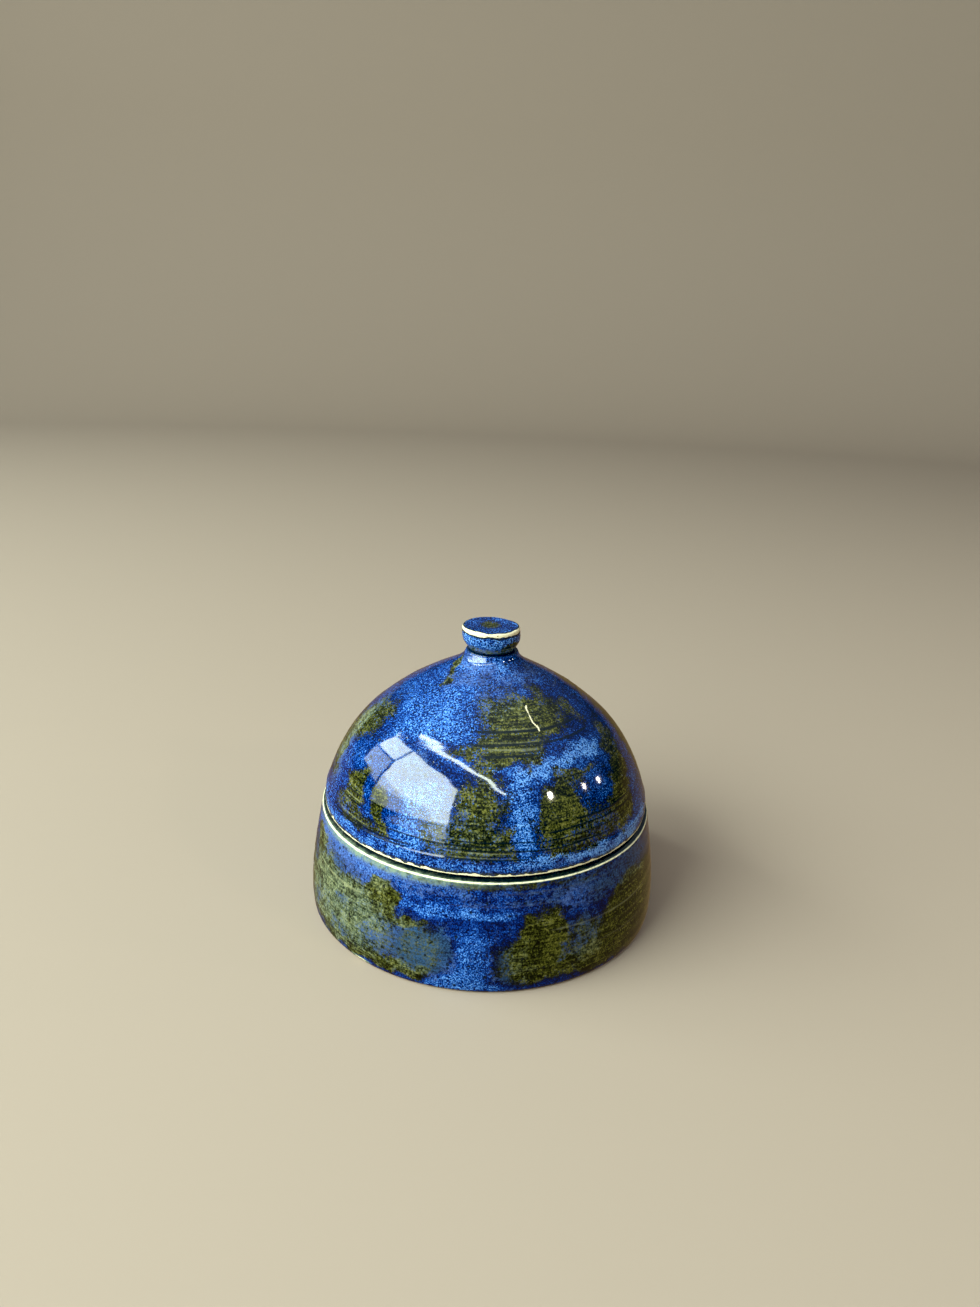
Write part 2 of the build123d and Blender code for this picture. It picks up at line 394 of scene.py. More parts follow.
BOWL_RUNS = [
    # left olive field with its upright right edge, and the blue-grey patches in it
    (-54, 17.5, 27, 17.0, 0, 0.14, 0.4),
    (-60, 24.5, 18, 4.0, 0.6, -0.1, 0.5),
    (-31.5, 31.0, 5.5, 5.6, 0, 0.0, 0.3),
    (-50, 34.5, 7, 2.4, 0, 0.72, 0.5),
    (-68, 34.5, 6, 4.0, 0, 0.0, 0.5),
    (-74, 26.0, 4, 3.0, 0, 0.62, 0.6),
    (-47, 20.5, 5, 2.6, 0, 0.42, 0.6),
    (-64, 12.0, 5, 3.6, 0, 0.48, 0.6),
    (-48, 9.0, 5, 2.6, 0, 0.50, 0.6),
    (-36, 14.0, 4, 3.0, 0, 0.46, 0.6),
    (-42, 4.8, 14, 3.0, 0, 0.06, 0.5),
    # dusky panel, its olive spot and foot
    (-18, 15.0, 8.0, 9.0, 0, 0.58, 0.4),
    (-23, 24.6, 6.0, 1.8, 0, 0.05, 0.5),
    (-24, 5.6, 9, 3.0, 0, 0.12, 0.5),
    # right of the middle
    (9, 11.5, 6, 7.0, 0, 0.52, 0.8),
    (19.5, 17.0, 8.0, 13.6, 0, -0.15, 0.35),
    (17.0, 27.5, 5.0, 3.0, 0, 0.05, 0.4),
    (34, 17.0, 6, 9.0, 0, 0.42, 0.5),
    (36, 7.0, 14, 5.0, 0, 0.18, 0.5),
    (60, 16.5, 19, 16.0, 0, -0.45, 0.25),
    (52, 7.0, 22, 6.5, 0, -0.15, 0.35),
    # thin glaze under the rim
    (14, 41.2, 24, 1.0, 0, 0.45, 0.6),
    (-20, 41.6, 14, 0.6, 0, 0.5, 0.6),
    # the side away from the front
    (96, 24.0, 12, 10.0, 0.4, -0.05, 0.35),
    (103, 10.0, 17, 6.0, 0, 0.10, 0.4),
    (127, 8.0, 9, 6.0, 0, 0.40, 0.5),
    (140, 30.0, 18, 4.5, -0.8, 0.05, 0.45),
    (151, 17.0, 8, 12.0, 0.3, 0.05, 0.4),
    (176, 12.0, 13, 8.0, 0, 0.10, 0.4),
    (-166, 25.0, 10, 5.0, 0.6, 0.20, 0.5),
    (-138, 22.0, 17, 8.0, -0.5, 0.05, 0.35),
    (-133, 9.0, 9, 7.0, 0, 0.15, 0.4),
    (-112, 8.0, 9, 6.0, 0, 0.35, 0.4),
    (-99, 28.0, 7, 6.0, 0, 0.15, 0.4),
    # blue gathered round the foot
    (0, 0.8, 180, 1.9, 0, 0.95, 0.5),
]

BOWL_SPARK = [
    (-8, 31.0, 17, 2.6, 0, 0.85, 0.5),
    (-2, 14.0, 6.0, 10.0, 0, 0.80, 0.5),
    (-6, 3.2, 14, 2.6, 0, 0.85, 0.5),
    (30, 33.0, 5, 3.4, 0, 0.70, 0.6),
    (0, 36.5, 16, 3.5, 0, 0.40, 0.6),
    (55, 32.0, 22, 12.0, 0, 0.18, 0.5),
    (-50, 38.6, 34, 5.0, 0, 0.75, 0.6),
    (-50, 16.0, 30, 12.0, 0, 0.30, 0.5),
    (-17, 15.0, 8, 9.0, 0, 0.0, 0.5),
    (10, 13.0, 5, 9.0, 0, 0.1, 0.5),
    (122, 26.0, 8, 8.0, 0, 0.65, 0.5),
    (-160, 20.0, 7, 9.0, 0, 0.65, 0.5),
    (-118, 20.0, 6, 10.0, 0, 0.6, 0.5),
    (165, 6.0, 10, 4.0, 0, 0.65, 0.5),
]

# Where the blue goes milky and the olive hazy: 0 not at all, 1 wholly. In places the haze and
# milkiness paint a grey sheen of reflected light.
BOWL_MILKY_AND_SHEEN = [
    (-50, 37.0, 34, 4.5, 0, 0.55, 0.6),
    (-50, 40.2, 34, 2.2, 0, 1.0, 0.6),
    (50, 36.5, 34, 5.5, 0, 0.7, 0.6),
    (-17, 15.0, 9.5, 10.5, 0, 0.8, 0.5),
    (9, 13.0, 6, 10.0, 0, 0.45, 0.8),
    (34, 17.0, 7, 10.0, 0, 0.55, 0.5),
    # painted reflection: a grey sheen over the left olive field
    (-54, 18.0, 28, 16.0, 0, 0.9, 0.5),
    (20, 34.0, 22, 0.8, 0, 0.5, 0.6),
    (22, 38.8, 22, 0.8, 0, 0.5, 0.6),
    (-12, 37.5, 16, 2.0, 0, 0.5, 0.7),
    (120, 38.0, 40, 3.5, 0, 0.8, 0.6),
    (-140, 38.0, 40, 3.5, 0, 0.8, 0.6),
]

# Near the top of the dome and round the neck, the milkiness paints a grey sheen of reflected
# light.
LID_MILKY_AND_SHEEN = [
    (-80, 71.0, 7, 14.0, -0.4, 1.0, 0.6),
    (45, 48.2, 24, 2.0, 0, 0.45, 0.5),
    (0, 47.8, 20, 1.2, 0, 0.3, 0.5),
    (-20, 98.5, 40, 3.0, 0, 0.6, 0.6),
    (60, 99.0, 40, 3.0, 0, 0.5, 0.6),
    (28, 78.4, 24, 2.0, 0.5, 0.3, 0.5),
    (-32, 76.0, 14, 4.0, 0, 0.5, 0.6),
    (-6, 57.0, 16, 8.0, 0, 0.35, 0.5),
    (10, 93.0, 22, 5.0, 0, 0.35, 0.5),
    (-30, 103.0, 50, 2.0, 0, 0.7, 0.6),
]

# Turning lines on the lid: (height, from azimuth, to azimuth, strength).
LID_LINES = [
    (50.6, -64, -24, 1.0), (51.6, -66, -22, 0.9), (50.4, -16, 16, 0.9), (51.5, -12, 12, 0.6),
    (53.2, -14, 46, 0.8), (54.6, -60, 10, 0.7), (56.0, -15, 62, 0.6), (57.2, -62, -44, 0.8),
    (58.6, 18, 66, 0.7), (60.2, -62, -46, 1.0), (60.6, 32, 64, 1.0), (61.4, -10, 6, 0.6),
    (62.5, 20, 40, 0.5), (80.6, -6, 26, 0.8), (81.4, -2, 26, 0.5), (83.3, -12, 62, 0.9),
    (84.6, 0, 36, 0.5), (86.5, -8, 60, 1.0), (88.0, 2, 30, 0.5), (90.2, 8, 40, 0.4),
]

# Light ridges between them.
LID_RIDGES = [
    (52.5, -62, -38, 0.8), (55.8, -60, -44, 0.6), (58.2, -62, -46, 1.0), (61.4, -60, -46, 1.0),
    (63.6, -60, -48, 0.6), (51.0, -14, 14, 0.7), (52.6, -10, 12, 0.8), (54.0, 22, 60, 0.5),
    (59.6, 52, 68, 0.6), (82.2, -4, 28, 1.0), (84.0, -6, 30, 0.7), (87.2, 2, 36, 0.7),
    (89.0, 6, 34, 0.5), (98.6, -50, -20, 0.5), (100.6, -62, -24, 0.8),
]

# Ridges left by the fingers on the bowl, where the glaze lies thin on the crest.
BOWL_LINES = [
    (27.7, -68, -38, 1.0), (24.0, -58, -30, 0.45), (17.0, -44, -14, 0.6), (8.6, -34, -10, 0.5),
    (34.2, -12, 44, 0.6), (38.6, 2, 46, 0.6), (36.8, -34, -6, 0.4), (23.7, 20, 68, 0.8),
    (14.2, 36, 64, 0.6), (19.6, 40, 70, 0.4), (28.6, 44, 72, 0.5), (10.0, 4, 28, 0.4),
]

# A cream mark on one stretch of the bowl's foot.
FOOT_CREAM_MARK = [(1.2, -43, -35, 1.0)]


def seeded_lines(seed, count, low, high, strength):
    """More turning lines, between two heights, round the side away from the front."""
    rng = np.random.default_rng(seed)
    for _ in range(count):
        start, reach = rng.uniform(66, 220), rng.uniform(20, 60)
        yield rng.uniform(low, high), start, start + reach, strength * rng.uniform(0.4, 1)


FADE_INSIDE, FADE_OUTSIDE = 6, 3  # degrees over which a line fades at each end


def lines(turned, wanted, width, seed):
    """1 along each line, fading at its ends, for turning marks that run round a piece."""
    drift = 0.12 * ripple(turned.points, 12, seed)
    total = np.zeros((len(turned.r), turned.segments))
    for z, start, end, strength in wanted:
        middle, half = (start + end) / 2, (end - start) / 2
        da = np.abs((turned.azimuth - middle + 180) % 360 - 180)
        along = 1 - smooth(half - FADE_INSIDE, half + FADE_OUTSIDE, da)
        across = np.exp(-(((turned.z[:, None] + drift - z) / width) ** 2))
        total = np.maximum(total, strength * along * across)
    return total


def throwing_spiral(turned, pitch):
    """The wave left by the potter's fingers, one turn round for each `pitch` mm of outline."""
    return np.sin(math.tau * (turned.path[:, None] / pitch + turned.azimuth / 360))


def turning_coordinates(turned):
    """For textures drawn out along the turning direction: round the axis, and up the outline."""
    shape = (len(turned.r), turned.segments)
    return np.stack([
        np.broadcast_to(turned.turn[:, 0], shape),
        np.broadcast_to(turned.turn[:, 1], shape),
        np.broadcast_to(turned.path[:, None], shape),
    ], -1)


# ---- materials ----------------------------------------------------------


class Nodes:
    """A short way to write a node tree."""

    def __init__(self, name):
        self.material = bpy.data.materials.new(name)
        self.material.use_nodes = True
        self.tree = self.material.node_tree
        self.tree.nodes.clear()

    def add(self, kind, inputs=None, **settings):
        node = self.tree.nodes.new(kind)
        for key, value in settings.items():
            setattr(node, key, value)
        for key, value in (inputs or {}).items():
            if isinstance(value, bpy.types.NodeSocket):
                self.tree.links.new(value, node.inputs[key])
            else:
                node.inputs[key].default_value = value
        return node

    def math(self, operation, a, b=0.0, c=0.0):
        return self.add("ShaderNodeMath", {0: a, 1: b, 2: c}, operation=operation).outputs[0]

    def step(self, low, high, value):
        """0 below low, 1 above high, smooth between."""
        inputs = {"Value": value, "From Min": low, "From Max": high}
        return self.add("ShaderNodeMapRange", inputs, interpolation_type="SMOOTHSTEP").outputs[0]

    def mix(self, factor, a, b):
        """Colour a where the factor is 0, and b where it is 1."""
        node = self.add("ShaderNodeMix", {0: factor}, data_type="RGBA")
        for socket, value in zip(node.inputs[6:8], (a, b)):
            if isinstance(value, bpy.types.NodeSocket):
                self.tree.links.new(value, socket)
            else:
                socket.default_value = value
        return node.outputs[2]

    def cover(self, under, over, where, strength):
        """Colour `under`, hidden by `over` in some places, up to the given strength."""
        return self.mix(self.math("MULTIPLY", where, strength), under, over)

    def ramp(self, value, *stops):
        node = self.add("ShaderNodeValToRGB", {"Fac": value})
        points = node.color_ramp.elements
        while len(points) < len(stops):
            points.new(0.5)
        for point, (position, colour) in zip(points, stops):
            point.position, point.color = position, (*colour, 1)
        return node.outputs["Color"]

    def layer(self, name):
        return self.add("ShaderNodeAttribute", attribute_name=name)

    def centred(self, value, weight, base):
        """base + weight * (value - 0.5)"""
        return self.math("MULTIPLY_ADD", self.math("SUBTRACT", value, 0.5), weight, base)

    def vector_math(self, operation, vector, by):
        node = self.add("ShaderNodeVectorMath", {0: vector, 1: by}, operation=operation)
        return node.outputs[0]

    def noise(self, vector, scale, detail=2.0, roughness=0.5):
        inputs = {"Vector": vector, "Scale": scale, "Detail": detail, "Roughness": roughness}
        return self.add("ShaderNodeTexNoise", inputs).outputs[0]


CREAM = (0.84, 0.76, 0.50)
RUST_SPOT = (0.22, 0.13, 0.05)
WORN = (0.32, 0.33, 0.17)
CLAY = (0.50, 0.36, 0.22)
DARK_LINE = (0.003, 0.007, 0.010)
# the milky blue, partly a painted sheen near the top of the lid
MILKY_AND_SHEEN = (0.070, 0.134, 0.375)
DUSKY = (0.022, 0.060, 0.125)

# Colours from the depths of each glaze to its palest crystals.
BLUE_RAMP = (
    (0.40, (0.000, 0.002, 0.020)), (0.46, (0.000, 0.008, 0.080)), (0.53, (0.001, 0.028, 0.195)),
    (0.60, (0.016, 0.105, 0.430)), (0.67, (0.080, 0.265, 0.690)), (0.76, (0.190, 0.400, 0.800)),
)
OLIVE_RAMP = (
    (0.38, (0.002, 0.003, 0.001)), (0.45, (0.011, 0.014, 0.002)), (0.52, (0.036, 0.040, 0.005)),
    (0.60, (0.082, 0.085, 0.012)), (0.70, (0.190, 0.180, 0.040)),
)
# the hazy olive, which on the bowl's left also paints a grey sheen of reflected light
HAZY_OLIVE_AND_SHEEN_RAMP = (
    (0.34, (0.020, 0.032, 0.016)), (0.50, (0.108, 0.142, 0.085)), (0.66, (0.275, 0.310, 0.180)),
)
CLAY_RAMP = ((0.35, (0.20, 0.13, 0.07)), (0.50, CLAY), (0.68, (0.62, 0.48, 0.32)))


def opaque(colour, factor=1):
    return (*[factor * c for c in colour], 1)


def glaze(name, thin, grit, blend):
    """Blue glaze with pale crystals, olive where it ran off, `thin` and then cream where it
    broke off an edge, and bare clay where it was wiped away. More `grit` makes it grainier,
    more `blend` makes the blue and the olive melt into each other. The mesh's layers say where:
    blue, spark, milky, edge, raw, line and ridge."""
    n = Nodes(name)
    here = n.add("ShaderNodeTexCoord").outputs["Object"]
    mm = n.add("ShaderNodeVectorMath", {0: here, "Scale": 1 / MM}, operation="SCALE").outputs[0]
    turning = n.layer("turning").outputs["Vector"]

    # from wide clouds to fine specks; the streaks run with the turning, the drips down it
    cloud = n.noise(mm, 0.12, 2.0, 0.6)
    patch = n.noise(mm, 0.33, 3.0, 0.6)
    grain = n.noise(mm, 0.85, 2.0, 0.6)
    speck = n.noise(mm, 1.75, 2.5, 0.75)
    fleck = n.noise(n.vector_math("ADD", mm, (31, 17, 5)), 1.4, 2.5, 0.7)
    streak = n.noise(n.vector_math("MULTIPLY", turning, (3.0, 3.0, 1.3)), 1.0, 3.0, 0.6)
    drip = n.noise(n.vector_math("MULTIPLY", turning, (17.0, 17.0, 0.06)), 1.0, 2.0, 0.5)

    # where it is blue: the runs, with their edges broken up at every size
    blue_here = n.layer("blue").outputs["Fac"]
    run = blue_here
    for noise, weight in (
        (patch, 1.1), (grain, 1.3 * grit), (speck, 2.0 * grit), (streak, 0.6), (drip, 0.35),
    ):
        run = n.centred(noise, weight, run)
    is_blue = n.step(0.5 - blend, 0.5 + blend, run)

    # the blue: deep between the crystals, and milky or dusky in places; near the top of the lid
    # the milky blue is a painted sheen
    spark = n.layer("spark").outputs["Fac"]
    contrast = n.math("MULTIPLY_ADD", spark, 1.2 * grit + 0.2, 0.6 * grit)
    lit = n.centred(spark, 0.20, n.centred(speck, contrast, 0.5))
    lit = n.centred(cloud, 0.18, lit)
    lit = n.centred(streak, 0.15, lit)
    deep = n.step(0.55, 1.05, n.centred(patch, 0.8, blue_here))
    lit = n.math("MULTIPLY_ADD", deep, 0.09, n.math("SUBTRACT", lit, 0.075))
    blue = n.ramp(lit, *BLUE_RAMP)
    milky_and_sheen_here = n.layer("milky_and_sheen").outputs["Fac"]
    milky_and_sheen = n.centred(grain, 1.6, n.centred(patch, 1.5, milky_and_sheen_here))
    milky_and_sheen = n.centred(speck, 1.5 * grit, milky_and_sheen)
    milk_and_sheen = n.mix(n.step(0.38, 0.62, speck), opaque(MILKY_AND_SHEEN, 0.6), opaque(MILKY_AND_SHEEN))
    dusk_lit = n.step(0.35, 0.65, n.centred(streak, 0.5, speck))
    dusk = n.mix(dusk_lit, opaque(DUSKY, 0.3), opaque(DUSKY, 1.7))
    milk_and_sheen = n.mix(n.step(0.0, 0.7, spark), dusk, milk_and_sheen)
    blue = n.cover(blue, milk_and_sheen, n.step(0.2, 0.9, milky_and_sheen), 0.75)

    # the olive, drawn out along the turning, and hazy in places; on the bowl's left the haze is a
    # painted reflection
    lit = n.centred(streak, 0.45, n.centred(fleck, 0.3 + 0.7 * grit, 0.5))
    lit = n.centred(patch, 0.35, n.centred(grain, 0.30, n.centred(cloud, 0.25, lit)))
    olive = n.ramp(lit, *OLIVE_RAMP)
    hazy_and_sheen = n.ramp(lit, *HAZY_OLIVE_AND_SHEEN_RAMP)
    haze_and_sheen = n.step(0.15, 1.25, n.centred(grain, 0.8, n.centred(patch, 1.6, milky_and_sheen_here)))
    olive = n.cover(olive, hazy_and_sheen, haze_and_sheen, 0.75)
    colour = n.mix(is_blue, olive, blue)

    # iron specks and pinholes
    cells = n.add("ShaderNodeTexVoronoi", {"Vector": mm, "Scale": 0.38, "Randomness": 1.0})
    size = n.add("ShaderNodeSeparateColor", {0: cells.outputs["Color"]}).outputs[0]
    size = n.math("MULTIPLY", n.math("POWER", size, 2.0), 0.20)
    from_edge = n.math("SUBTRACT", cells.outputs["Distance"], size)
    hole = n.math("SUBTRACT", 1.0, n.step(0.02, 0.09, from_edge))
    colour = n.cover(colour, opaque(DARK_LINE), hole, 0.85)

    # turning lines hold dark glaze; finger ridges carry it thin. On the bowl's land the same dark
    # line paints shade under the lid's edge.
    line = n.layer("line").outputs["Fac"]
    broken = n.step(0.2, 0.5, n.math("MULTIPLY", line, n.math("ADD", grain, 0.5)))
    colour = n.cover(colour, opaque(DARK_LINE), broken, 0.85)
    ridge = n.layer("ridge").outputs["Fac"]
    worn = n.step(0.25, 1.0, n.math("MULTIPLY", ridge, n.math("ADD", grain, 0.5)))
    worn = n.math("MULTIPLY", worn, n.math("MULTIPLY_ADD", is_blue, -0.28, 0.40))
    colour = n.mix(worn, colour, opaque(WORN))

    # edges: a thin line, then cream; on the lid the same cream also paints a highlight
    edge = n.layer("edge").outputs["Fac"]
    loose = n.math("MINIMUM", n.math("MULTIPLY", edge, 2.0), 1.0)
    edge = n.centred(patch, n.math("MULTIPLY", loose, 0.8), edge)
    edge = n.centred(grain, n.math("MULTIPLY", loose, 0.5), edge)
    colour = n.cover(colour, opaque(thin), n.step(0.08, 0.5, edge), 0.85)
    spots = n.mix(n.step(0.60, 0.68, fleck), opaque(CREAM), opaque(RUST_SPOT))
    colour = n.mix(n.step(0.56, 0.66, edge), colour, spots)

    # bare clay
    raw = n.step(0.4, 0.6, n.centred(grain, 0.5, n.layer("raw").outputs["Fac"]))
    colour = n.mix(raw, colour, n.ramp(fleck, *CLAY_RAMP))

    # glossy glaze and dull clay
    gloss = n.math("MULTIPLY_ADD", patch, 0.08, 0.02)
    rough = n.add("ShaderNodeMix", {0: raw, 2: gloss, 3: 0.75}).outputs[0]

    # fine relief
    height = n.math("MULTIPLY", patch, 0.004)
    for relief, millimetres in (
        (grain, 0.0022), (speck, 0.0012), (streak, 0.006), (line, -0.03), (hole, -0.012),
        (n.math("MULTIPLY", raw, fleck), 0.05),
    ):
        height = n.math("MULTIPLY_ADD", relief, millimetres, height)
    bump = n.add("ShaderNodeBump", {"Strength": 1.0, "Distance": MM, "Height": height})

    shader = n.add("ShaderNodeBsdfPrincipled", {
        "Base Color": colour, "Roughness": rough, "Normal": bump.outputs[0],
        "IOR": 1.55, "Specular IOR Level": 0.5,
    })
    n.add("ShaderNodeOutputMaterial", {0: shader.outputs[0]})
    return n.material


def matt(name, colour):
    n = Nodes(name)
    shader = n.add("ShaderNodeBsdfPrincipled", {
        "Base Color": opaque(colour), "Roughness": 0.8, "Specular IOR Level": 0.2,
    })
    n.add("ShaderNodeOutputMaterial", {0: shader.outputs[0]})
    return n.material


# ---- pieces -------------------------------------------------------------
# Each lies a little inside its solid, so that its unevenness stays within the solid's outline.


def no_marks(turned):
    return np.zeros((len(turned.r), turned.segments))


def uneven(turned, size, seed, fine, fine_size):
    """A hand-made surface's unevenness, from -2 to 2: slow waves with finer ones on them."""
    slow = ripple(turned.points, size, seed)
    return (slow + fine * ripple(turned.points, fine_size, seed + 1)).clip(-2, 2)


def make_bowl():
    t = Turned(bowl_outline(), 360)
    inside = t.is_zone("inside")
    wall = t.is_zone("wall")
    ridge = lines(t, BOWL_LINES + list(seeded_lines(5, 14, 5, 40, 0.8)), 0.55, 11) * wall

    offset = -0.10 - 0.05 * uneven(t, 30, 1, 0.2, 9) * wall
    offset += 0.08 * ridge
    spiral = throwing_spiral(t, 5.2)
    offset += 0.16 * inside * spiral + 0.04 * wall * spiral
    offset *= 1 - t.is_zone("seat", "foot")

    # a cream line on the rim, with a pale halo under it at the front left; dark glaze on the land
    # above it, painted darker towards the lid as shade in the gap under the lid's edge; and a
    # dark line round the foot
    edge = 1.05 * t.about(RIM[0] - 0.15, RIM[1] + 0.05, 0.37)
    halo = 0.5 + 0.5 * np.cos(np.radians(t.azimuth + 38))
    edge += 0.42 * halo**6 * t.about(RIM[0], RIM[1] - 0.9, 2.3)
    edge += 1.2 * t.about(FOOT_EDGE + 0.8, 1.2, 0.7) * lines(t, FOOT_CREAM_MARK, 3.0, 3)
    # painted shade: darker away from the rim, for the gap under the lid's edge
    line = 0.9 * t.is_zone("land") * (1 - t.about(RIM[0], RIM[1], 0.9))
    line = np.maximum(line, t.about(FOOT_EDGE + 0.6, 0.4, 0.5))
    blue = paint(t, 0.95, BOWL_RUNS, 21)
    blue = np.where(t.is_zone("land") > 0, 0.12, blue)
    blue = np.where(inside > 0, 0.62 + 0.25 * ripple(t.points, 14, 4), blue)
    layers = {
        "blue": blue,
        "spark": paint(t, 0.30, BOWL_SPARK, 31),
        "milky_and_sheen": paint(t, 0.0, BOWL_MILKY_AND_SHEEN, 41),
        "edge": edge, "raw": t.is_zone("seat", "foot"), "line": line,
        "ridge": ridge, "turning": turning_coordinates(t),
    }
    return add_mesh("bowl_glazed", t, offset, layers)


def make_lid():
    t = Turned(lid_outline(), 384)
    dome = t.is_zone("dome")
    low_lines = list(seeded_lines(7, 40, 50.5, 63, 1.0))
    high_lines = list(seeded_lines(8, 14, 79, 91, 0.8))
    line = lines(t, LID_LINES + low_lines + high_lines, 0.30, 12) * dome

    offset = -0.03 - 0.05 * uneven(t, 34, 5, 0.15, 8) * dome
    ridge = lines(t, LID_RIDGES + list(seeded_lines(9, 16, 50.5, 95, 0.8)), 0.34, 13) * dome
    offset += 0.05 * ridge - 0.10 * line
    crease = np.exp(-(((t.z[:, None] - CREASE) / 0.5) ** 2)) * dome
    offset -= 0.16 * crease
    spiral = throwing_spiral(t, 5.6)
    offset += 0.15 * t.is_zone("hollow") * spiral + 0.007 * dome * spiral
    offset *= 1 - t.is_zone("seat", "under", "neck_top")

    # a ragged cream line on the lower edge, with thin glaze above it
    wobble = 0.14 * ripple(t.points, 2.2, 16) + 0.10 * ripple(t.points, 0.9, 17)
    away = np.abs(t.z[:, None] - SEAT - 0.80 + wobble) / (0.27 + 0.5 * np.abs(wobble))
    edge = 1.05 * np.exp(-(away**2)) * t.is_zone("dome", "edge")
    edge += 0.40 * t.about(LID_RADIUS, SEAT + 1.6, 0.7)
    # a painted highlight: a fine cream line down the upper olive pool, a thin streak of reflected
    # light
    aside = np.radians(t.azimuth - 28 + 1.2 * ripple(t.points, 4, 19)) * t.r[:, None]
    painted_highlight_line = np.exp(-((aside / 0.36) ** 2)) * (np.abs(t.z - 89.2) < 3.3)[:, None]
    edge = np.maximum(edge, 1.1 * painted_highlight_line)
    blue = paint(t, 0.95, LID_RUNS, 22)
    blue = np.where(t.is_zone("hollow") > 0, 0.62 + 0.25 * ripple(t.points, 14, 9), blue)
    joint = 1.2 * t.about(9.2, NECK_TOP, 0.55)
    layers = {
        "blue": blue,
        "spark": paint(t, 0.45, LID_SPARK, 32),
        "milky_and_sheen": paint(t, 0.0, LID_MILKY_AND_SHEEN, 42),
        "edge": edge, "raw": t.is_zone("seat", "flange"), "line": np.maximum(line, joint),
        "ridge": ridge, "turning": turning_coordinates(t),
    }
    return add_mesh("lid_glazed", t, offset, layers)


KNOB_RUNS = [
    (52, 107.8, 26, 2.1, 0, -0.3, 0.4),
    (-60, 106.8, 30, 1.2, 0, 0.3, 0.5),
    (0, 106.6, 180, 0.9, 0, 0.4, 0.6),
    (150, 108.0, 30, 2.0, 0, 0.2, 0.4),
]


def make_knob():
    t = Turned(knob_outline(), 200)
    offset = -0.17 - 0.06 * ripple(t.points, 5, 14).clip(-2, 2) * (1 - t.is_zone("joint"))
    # it leans to the left as it rises
    rise = (t.z - NECK_TOP) / (KNOB_TOP - NECK_TOP)
    shift = np.zeros((len(t.r), 1, 3))
    shift[:, 0, 0] = KNOB_CENTRE + 0.3 - 0.65 * rise

    # the cream band is widest at the front, and darker glaze lines it on both sides
    front = 0.5 + 0.5 * np.cos(np.radians(t.azimuth - 15))
    reach = 0.55 + 0.55 * front + 0.15 * ripple(t.points, 3, 15)
    away = np.hypot(t.r - KNOB_RADIUS + 0.2, t.z - KNOB_TOP + 0.75)[:, None]
    edge = 1.15 * np.exp(-((away / reach) ** 2))
    line = 0.9 * np.exp(-(((away - 1.2 * reach) / 0.30) ** 2)) * (t.r > 8)[:, None]
    undercut = t.about(9.0, NECK_TOP + 0.1, 0.75 + 0.2 * ripple(t.points, 2.5, 18))
    line = np.maximum(line, 1.3 * undercut)
    blue = paint(t, 0.95, KNOB_RUNS, 23, 0.4)
    # an olive spot on the top
    spot = np.hypot(t.points[..., 0] + 0.2, (t.points[..., 1] - 1.5) * 0.9)
    blue = np.where(t.is_zone("top") > 0, 0.95 - 0.9 * (1 - smooth(1.5, 5.5, spot)), blue)
    milky_and_sheen = 1.1 * (1 - smooth(107.2, 109.0, t.z))[:, None] + no_marks(t)
    layers = {
        "blue": blue, "spark": 0.85 - 0.4 * t.is_zone("top"), "milky_and_sheen": milky_and_sheen,
        "edge": edge, "raw": no_marks(t), "line": line,
        "ridge": no_marks(t), "turning": turning_coordinates(t),
    }
    return add_mesh("knob_glazed", t, offset, layers, shift)


# How each is glazed: the thin glaze beside its cream edges, the grit and the blend.
PALE_GREEN, BROWN_OLIVE, INK = (0.22, 0.30, 0.19), (0.035, 0.036, 0.010), (0.006, 0.010, 0.009)
for make, node, body, slot, *look in (
    (make_bowl, "bowl", "bowl", "bowl_glaze", PALE_GREEN, 0.60, 0.26),
    (make_lid, "lid", "lid", "lid_glaze", BROWN_OLIVE, 0.85, 0.14),
    (make_knob, "knob", "lid", "knob_glaze", INK, 0.95, 0.14),
):
    piece = make()
    piece.data.materials.append(glaze(slot, *look))
    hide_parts(node)
    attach(piece, body)


# ---- floor, light and camera --------------------------------------------

# A round floor that sweeps up into a wall all round, so that every view has a plain backdrop.
# The object stands off its middle, so that the wall is near behind it and the lights stand clear.
FLOOR_MIDDLE, FLOOR_RADIUS, SWEEP, TOP = -1.5, 3.0, 0.6, 3.0
SWEEP_STEPS, AROUND = 12, 120
FLOOR_COLOUR = (0.350, 0.280, 0.215)
section = [(FLOOR_RADIUS, 0.0)]
for step in range(1, SWEEP_STEPS + 1):
    angle = math.pi / 2 * step / SWEEP_STEPS
    section.append((FLOOR_RADIUS + SWEEP * math.sin(angle), SWEEP * (1 - math.cos(angle))))
section.append((FLOOR_RADIUS + SWEEP, TOP))
verts = [(0, FLOOR_MIDDLE, 0)]
for radius, z in section:
    for i in range(AROUND):
        angle = math.tau * i / AROUND
        verts.append((radius * math.cos(angle), FLOOR_MIDDLE + radius * math.sin(angle), z))
faces = []
for i in range(AROUND):
    j = (i + 1) % AROUND
    faces.append((0, 1 + i, 1 + j))
    for row in range(len(section) - 1):
        low = 1 + row * AROUND
        faces.append((low + i, low + AROUND + i, low + AROUND + j, low + j))
floor_mesh = bpy.data.meshes.new("floor")
floor_mesh.from_pydata(verts, [], faces)
floor_mesh.shade_smooth()
floor_mesh.materials.append(matt("pale_floor", FLOOR_COLOUR))
floor = bpy.data.objects.new("floor", floor_mesh)
# The glaze reflects the sky's brown from below instead, as a pale floor would veil its dark side.
floor.visible_glossy = False
bpy.context.scene.collection.objects.link(floor)

MIDDLE = Vector((0, 0, 0.07))  # the lights are placed round this point, inside the object
COOL, WARM = (0.86, 1.0, 0.96), (1.0, 0.90, 0.80)


